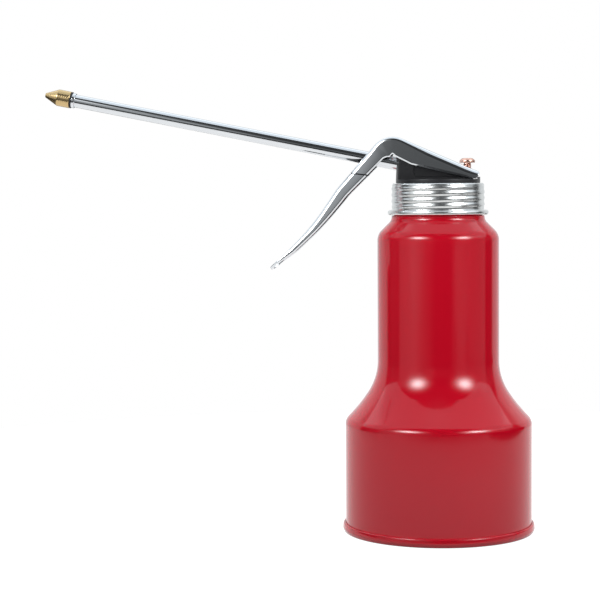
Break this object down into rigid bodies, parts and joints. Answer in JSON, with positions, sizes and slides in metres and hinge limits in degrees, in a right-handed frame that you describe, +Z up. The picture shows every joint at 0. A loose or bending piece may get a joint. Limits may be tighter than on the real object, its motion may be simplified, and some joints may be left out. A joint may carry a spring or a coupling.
{
  "type": "pump oil can",
  "caption": "Painted steel oil can with a wide seamed base, a screw cap carrying a pump head, a squeeze lever and a long straight spout with a brass nozzle.",
  "frame": {"origin": "the can's axis at the plane that it stands on, 1.4 mm below the recessed base panel", "axes": "+Z up along the can's axis, -X towards the spout's nozzle, +Y away from the pictured side"},
  "size_m": [0.2464, 0.096, 0.2226],
  "materials": {
    "red_paint": "gloss",
    "zinc": "bright plated",
    "chrome": "polished",
    "steel": "plain",
    "brass": "turned",
    "copper_plate": "copper plated",
    "black_plastic": "satin",
    "rubber": "matte",
    "clear_plastic": "translucent"
  },
  "bodies": {
    "can": {"can_shell": "red_paint", "base_plate": "red_paint"},
    "gasket": {"cap_gasket": "rubber"},
    "pump_head": {"screw_cap": "zinc", "pump_housing": "black_plastic", "clamp_washer": "steel", "clamp_nut": "steel", "rod_seal": "rubber", "gland_bush": "brass", "return_spring": "steel", "pump_barrel": "brass", "ball_keeper": "brass", "inlet_seat": "brass", "dip_tube": "clear_plastic", "strainer": "brass", "spout_tube": "chrome", "spout_ferrule": "chrome", "nozzle_seal": "rubber", "nozzle_tip": "brass", "keeper_screw": "copper_plate"},
    "lever": {"lever": "chrome"},
    "plunger": {"plunger": "steel", "spring_cup": "steel"},
    "inlet_ball": {"inlet_ball": "steel"},
    "outlet_ball": {"outlet_ball": "steel"}
  },
  "joints": [
    {"name": "cap_rise", "type": "slide", "parent": "can", "child": "gasket", "axis": [0, 0, 1], "range_m": [0, 0.0091]},
    {"name": "cap_turn", "type": "hinge", "parent": "gasket", "child": "pump_head", "pos_m": [0, 0, 0.166], "axis": [0, 0, 1], "range_deg": [0, 1080]},
    {"name": "lever_squeeze", "type": "hinge", "parent": "pump_head", "child": "lever", "pos_m": [0.0186, 0, 0.1763], "axis": [0, -1, 0], "range_deg": [0, 8], "stiffness_Nm_per_rad": 1.5, "springref_deg": -11.46},
    {"name": "plunger_press", "type": "slide", "parent": "pump_head", "child": "plunger", "axis": [0, 0, -1], "range_m": [0, 0.0029], "deforming": ["return_spring"]},
    {"name": "inlet_lift", "type": "slide", "parent": "pump_head", "child": "inlet_ball", "axis": [0, 0, 1], "range_m": [0, 0.0015]},
    {"name": "outlet_lift", "type": "slide", "parent": "pump_head", "child": "outlet_ball", "axis": [0, 0, 1], "range_m": [0, 0.001]}
  ],
  "couplings": [
    {"joint": "cap_rise", "follows": "cap_turn", "m_per_rad": 0.000482},
    {"joint": "plunger_press", "follows": "lever_squeeze", "m_per_rad": 0.0207}
  ]
}
